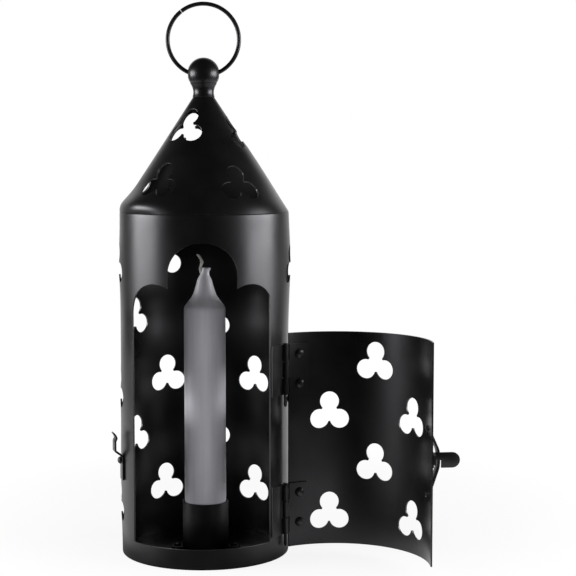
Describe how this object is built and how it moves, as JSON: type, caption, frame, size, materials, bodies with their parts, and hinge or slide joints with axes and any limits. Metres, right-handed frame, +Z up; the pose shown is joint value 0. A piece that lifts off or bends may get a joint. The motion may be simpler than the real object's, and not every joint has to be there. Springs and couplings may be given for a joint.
{
  "type": "candle lantern",
  "caption": "Tall round sheet-metal candle lantern with an arched window, a pierced hinged door with a sliding latch, a pierced cone roof and a carry ring.",
  "frame": {"origin": "centre of the floor's underside, on the tube's axis, at the plane the lantern stands on", "axes": "+Z up along the tube's axis, -Y towards the arched window, +X towards the hinges and the open door"},
  "size_m": [0.1826, 0.1014, 0.2946],
  "materials": {
    "black_sheet": "satin black paint on sheet steel",
    "black_fittings": "blackened steel hinges, rivets, latch and ring",
    "candle_wax": "pale grey-white wax with a soft sheen",
    "wick_cotton": "unburnt waxed cotton"
  },
  "bodies": {
    "lantern body": {"body_tube": "black_sheet", "floor_disc": "black_sheet", "roof_cone": "black_sheet", "finial_knob": "black_sheet", "candle_cup": "black_sheet", "cup_rivet_left": "black_fittings", "cup_rivet_right": "black_fittings", "latch_keeper": "black_fittings", "keeper_rivet": "black_fittings", "lower_hinge_body_leaf": "black_fittings", "lower_hinge_pin": "black_fittings", "lower_hinge_body_rivet_1": "black_fittings", "lower_hinge_body_rivet_2": "black_fittings", "upper_hinge_body_leaf": "black_fittings", "upper_hinge_pin": "black_fittings", "upper_hinge_body_rivet_1": "black_fittings", "upper_hinge_body_rivet_2": "black_fittings"},
    "ring": {"carry_ring": "black_fittings"},
    "candle": {"candle_wax": "candle_wax", "candle_wick": "wick_cotton"},
    "door": {"door_panel": "black_sheet", "latch_bridge": "black_fittings", "bridge_rivet_lower": "black_fittings", "bridge_rivet_upper": "black_fittings", "lower_hinge_door_leaf": "black_fittings", "lower_hinge_door_rivet_1": "black_fittings", "lower_hinge_door_rivet_2": "black_fittings", "upper_hinge_door_leaf": "black_fittings", "upper_hinge_door_rivet_1": "black_fittings", "upper_hinge_door_rivet_2": "black_fittings"},
    "bolt": {"latch_bolt": "black_fittings"}
  },
  "joints": [
    {"name": "door_hinge", "type": "hinge", "parent": "lantern body", "child": "door", "pos_m": [0.04347, -0.01801, 0.0633], "axis": [0, 0, 1], "range_deg": [-150, 20]},
    {"name": "latch_slide", "type": "hinge", "parent": "door", "child": "bolt", "pos_m": [0.07034, -0.05431, 0.0585], "axis": [0, 0, -1], "range_deg": [0, 14]},
    {"name": "ring_swing", "type": "hinge", "parent": "lantern body", "child": "ring", "pos_m": [0, 0, 0.2568], "axis": [1, 0, 0], "range_deg": [-145, 145]},
    {"name": "candle_lift", "type": "slide", "parent": "lantern body", "child": "candle", "axis": [0, 0, 1], "range_m": [0, 0.026]}
  ]
}
